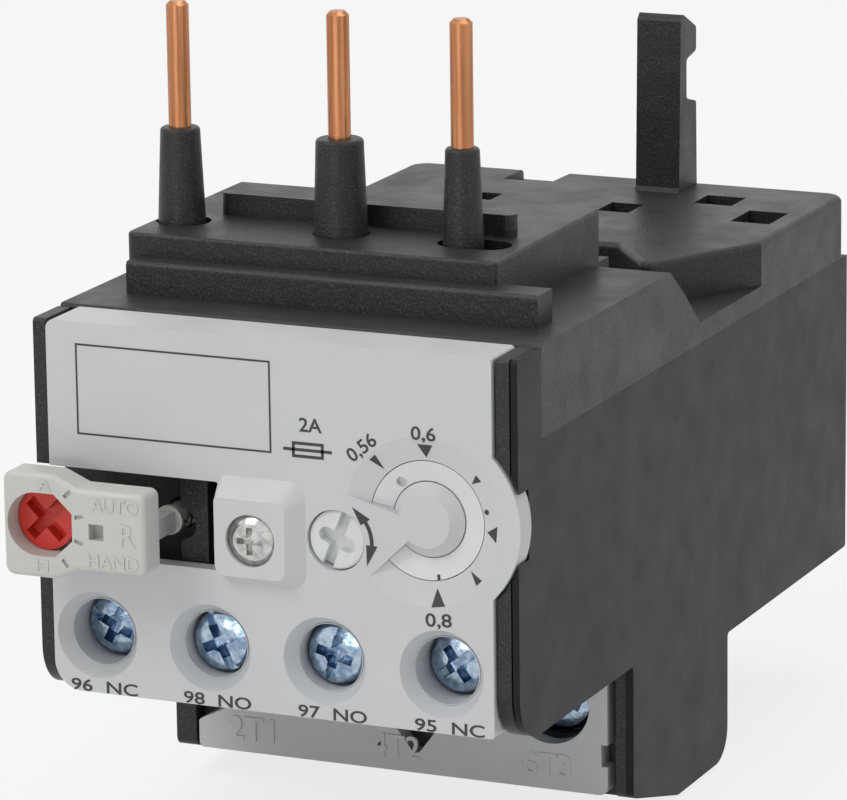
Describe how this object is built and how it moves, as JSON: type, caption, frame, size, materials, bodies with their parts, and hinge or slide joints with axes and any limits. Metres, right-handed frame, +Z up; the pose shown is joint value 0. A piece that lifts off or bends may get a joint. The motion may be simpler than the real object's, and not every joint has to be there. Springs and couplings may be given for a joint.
{
  "type": "thermal overload relay",
  "caption": "Thermal overload relay with a turning current dial, a reset button with a mode knob, plug-in copper pins and screw terminals.",
  "frame": {"origin": "centre of the rear mounting face", "axes": "+Y out of the rear face, front towards -Y; +Z up along the plug pins; +X to the right seen from the front"},
  "size_m": [0.0453, 0.0876, 0.0731],
  "materials": {
    "cover_grey": "satin",
    "button_grey": "satin",
    "dial_white": "satin",
    "selector_red": "gloss",
    "black_smooth": "satin",
    "black_textured": "matte",
    "copper": "satin",
    "zinc": "satin",
    "heater_wire": "satin",
    "bimetal": "satin",
    "spring_steel": "satin",
    "brass": "satin",
    "inner_plastic": "matte"
  },
  "bodies": {
    "housing": {"base_housing": "black_textured", "bimetal_strip_1": "bimetal", "bimetal_strip_2": "bimetal", "bimetal_strip_3": "bimetal", "boot_2": "black_textured", "control_plate_1": "brass", "control_plate_2": "brass", "control_plate_3": "brass", "control_plate_4": "brass", "control_terminal_block": "black_textured", "cover_screw": "zinc", "feed_bar_1": "copper", "feed_bar_2": "copper", "feed_bar_3": "copper", "front_cover": "cover_grey", "heater_winding_1": "heater_wire", "heater_winding_2": "heater_wire", "heater_winding_3": "heater_wire", "latch_hook": "black_textured", "load_bar_1": "copper", "load_bar_2": "copper", "load_bar_3": "copper", "main_terminal_block": "black_textured", "pin_carrier": "black_textured", "plug_pin_2": "copper", "return_spring": "spring_steel", "side_cover": "black_smooth", "terminal_cover": "button_grey", "top_housing": "black_textured"},
    "reset_button": {"reset_button": "button_grey"},
    "mode_selector": {"mode_selector": "selector_red"},
    "setting_dial": {"setting_dial": "dial_white"},
    "adjuster": {"adjuster": "dial_white"},
    "trip_slide": {"trip_slide": "inner_plastic"},
    "lag_slide": {"lag_slide": "inner_plastic"},
    "differential_lever": {"differential_lever": "inner_plastic"},
    "trip_lever": {"trip_lever": "bimetal"},
    "contact_carrier": {"contact_carrier": "inner_plastic", "opening_bridge": "brass", "closing_bridge": "brass"},
    "pin_1": {"plug_pin_1": "copper", "boot_1": "black_textured"},
    "pin_3": {"plug_pin_3": "copper", "boot_3": "black_textured"},
    "control_clamp_1": {"control_clamp_1": "zinc"},
    "control_screw_1": {"control_screw_1": "zinc"},
    "control_clamp_2": {"control_clamp_2": "zinc"},
    "control_screw_2": {"control_screw_2": "zinc"},
    "control_clamp_3": {"control_clamp_3": "zinc"},
    "control_screw_3": {"control_screw_3": "zinc"},
    "control_clamp_4": {"control_clamp_4": "zinc"},
    "control_screw_4": {"control_screw_4": "zinc"},
    "main_clamp_1": {"main_clamp_1": "zinc"},
    "main_screw_1": {"main_screw_1": "zinc"},
    "main_clamp_2": {"main_clamp_2": "zinc"},
    "main_screw_2": {"main_screw_2": "zinc"},
    "main_clamp_3": {"main_clamp_3": "zinc"},
    "main_screw_3": {"main_screw_3": "zinc"}
  },
  "joints": [
    {"name": "reset_press", "type": "slide", "parent": "housing", "child": "reset_button", "axis": [0, 1, 0], "range_m": [0, 0.0022], "stiffness_N_per_m": 400, "springref_m": -0.004, "deforming": ["return_spring"]},
    {"name": "mode_turn", "type": "hinge", "parent": "reset_button", "child": "mode_selector", "pos_m": [-0.01935, -0.0856, 0.00285], "axis": [0, 1, 0], "range_deg": [-50, 50]},
    {"name": "dial_turn", "type": "hinge", "parent": "housing", "child": "setting_dial", "pos_m": [0.01414, -0.0806, 0.00476], "axis": [0, 1, 0], "range_deg": [-212, 0]},
    {"name": "adjuster_turn", "type": "hinge", "parent": "housing", "child": "adjuster", "pos_m": [0.00591, -0.0806, 0.00236], "axis": [0, 1, 0], "range_deg": [0, 424]},
    {"name": "control_clamp_1_travel", "type": "slide", "parent": "housing", "child": "control_clamp_1", "axis": [0, 1, 0], "range_m": [-0.0012, 0.0025]},
    {"name": "control_screw_1_turn", "type": "hinge", "parent": "control_clamp_1", "child": "control_screw_1", "pos_m": [-0.0169, -0.0756, -0.00835], "axis": [0, 1, 0], "range_deg": [-721, 1501]},
    {"name": "control_clamp_2_travel", "type": "slide", "parent": "housing", "child": "control_clamp_2", "axis": [0, 1, 0], "range_m": [0, 0.0038]},
    {"name": "control_screw_2_turn", "type": "hinge", "parent": "control_clamp_2", "child": "control_screw_2", "pos_m": [-0.0061, -0.0756, -0.00835], "axis": [0, 1, 0], "range_deg": [0, 2281]},
    {"name": "control_clamp_3_travel", "type": "slide", "parent": "housing", "child": "control_clamp_3", "axis": [0, 1, 0], "range_m": [0, 0.0038]},
    {"name": "control_screw_3_turn", "type": "hinge", "parent": "control_clamp_3", "child": "control_screw_3", "pos_m": [0.0047, -0.0756, -0.00835], "axis": [0, 1, 0], "range_deg": [0, 2281]},
    {"name": "control_clamp_4_travel", "type": "slide", "parent": "housing", "child": "control_clamp_4", "axis": [0, 1, 0], "range_m": [-0.0012, 0.0025]},
    {"name": "control_screw_4_turn", "type": "hinge", "parent": "control_clamp_4", "child": "control_screw_4", "pos_m": [0.0155, -0.0756, -0.00835], "axis": [0, 1, 0], "range_deg": [-721, 1501]},
    {"name": "main_clamp_1_travel", "type": "slide", "parent": "housing", "child": "main_clamp_1", "axis": [0, 1, 0], "range_m": [0, 0.0049]},
    {"name": "main_screw_1_turn", "type": "hinge", "parent": "main_clamp_1", "child": "main_screw_1", "pos_m": [-0.0145, -0.0516, -0.01835], "axis": [0, 1, 0], "range_deg": [0, 2521]},
    {"name": "main_clamp_2_travel", "type": "slide", "parent": "housing", "child": "main_clamp_2", "axis": [0, 1, 0], "range_m": [0, 0.0049]},
    {"name": "main_screw_2_turn", "type": "hinge", "parent": "main_clamp_2", "child": "main_screw_2", "pos_m": [0, -0.0516, -0.01835], "axis": [0, 1, 0], "range_deg": [0, 2521]},
    {"name": "main_clamp_3_travel", "type": "slide", "parent": "housing", "child": "main_clamp_3", "axis": [0, 1, 0], "range_m": [0, 0.0049]},
    {"name": "main_screw_3_turn", "type": "hinge", "parent": "main_clamp_3", "child": "main_screw_3", "pos_m": [0.0145, -0.0516, -0.01835], "axis": [0, 1, 0], "range_deg": [0, 2521]},
    {"name": "pin_1_shift", "type": "slide", "parent": "housing", "child": "pin_1", "axis": [1, 0, 0], "range_m": [-0.0001, 0.0004]},
    {"name": "pin_3_shift", "type": "slide", "parent": "housing", "child": "pin_3", "axis": [1, 0, 0], "range_m": [-0.0004, 0.0024]},
    {"name": "trip_slide_travel", "type": "slide", "parent": "housing", "child": "trip_slide", "axis": [1, 0, 0], "range_m": [0, 0.0012]},
    {"name": "lag_slide_travel", "type": "slide", "parent": "trip_slide", "child": "lag_slide", "axis": [1, 0, 0], "range_m": [-0.001, 0]},
    {"name": "differential_lever_turn", "type": "hinge", "parent": "trip_slide", "child": "differential_lever", "pos_m": [-0.0176, -0.0534, 0.0035], "axis": [0, 1, 0], "range_deg": [0, 6.5]},
    {"name": "trip_lever_turn", "type": "hinge", "parent": "housing", "child": "trip_lever", "pos_m": [-0.0185, -0.0621, 0.0078], "axis": [0, 0, 1], "range_deg": [-8, 0]},
    {"name": "contact_travel", "type": "slide", "parent": "housing", "child": "contact_carrier", "axis": [0, 1, 0], "range_m": [-0.0015, 0]}
  ],
  "couplings": [
    {"joint": "adjuster_turn", "follows": "dial_turn", "ratio": -2},
    {"joint": "control_screw_1_turn", "follows": "control_clamp_1_travel", "rad_per_m": 10472},
    {"joint": "control_screw_2_turn", "follows": "control_clamp_2_travel", "rad_per_m": 10472},
    {"joint": "control_screw_3_turn", "follows": "control_clamp_3_travel", "rad_per_m": 10472},
    {"joint": "control_screw_4_turn", "follows": "control_clamp_4_travel", "rad_per_m": 10472},
    {"joint": "main_screw_1_turn", "follows": "main_clamp_1_travel", "rad_per_m": 8976},
    {"joint": "main_screw_2_turn", "follows": "main_clamp_2_travel", "rad_per_m": 8976},
    {"joint": "main_screw_3_turn", "follows": "main_clamp_3_travel", "rad_per_m": 8976},
    {"joint": "differential_lever_turn", "follows": "lag_slide_travel", "rad_per_m": -111.11},
    {"joint": "trip_lever_turn", "follows": "trip_slide_travel", "rad_per_m": -114.94}
  ]
}
